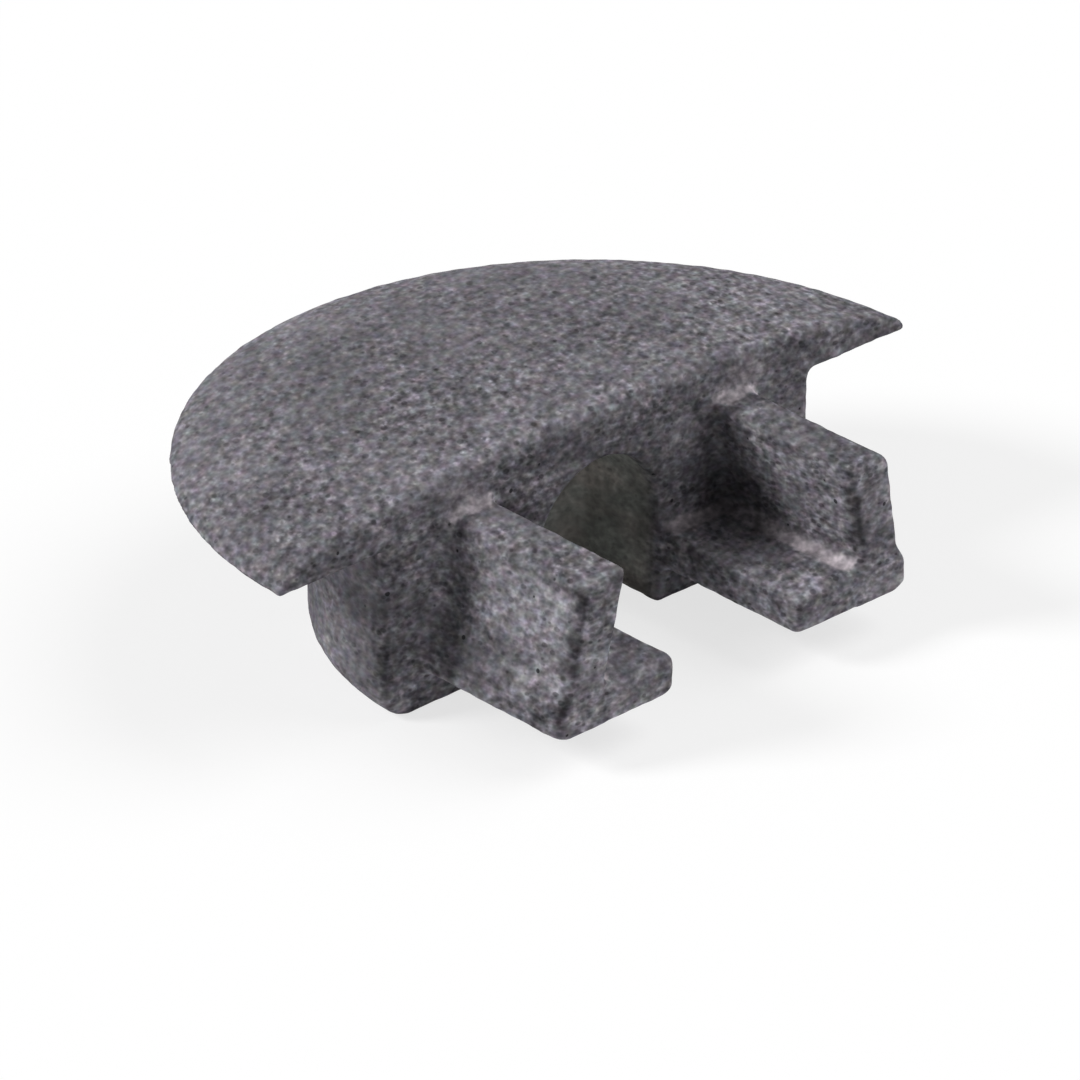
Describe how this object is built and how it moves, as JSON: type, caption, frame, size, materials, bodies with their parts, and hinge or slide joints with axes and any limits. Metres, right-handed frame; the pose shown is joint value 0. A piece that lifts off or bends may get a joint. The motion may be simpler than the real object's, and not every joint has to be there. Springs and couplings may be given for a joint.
{
  "type": "profile end cap",
  "caption": "Domed half-moon end cap with a half-round notched plug below and L-shaped prongs reaching out from its flat front.",
  "frame": {"origin": "middle of the flange's straight edge, where the flat front meets the flange's underside", "axes": "+Z out of the profile's end through the dome, +X along the straight edge, -Y out of the flat front along the prongs"},
  "size_m": [0.022, 0.016, 0.0065],
  "materials": {
    "nylon": "grainy matte grey sintered nylon"
  },
  "bodies": {
    "root": {"end_cap": "nylon"}
  },
  "joints": []
}
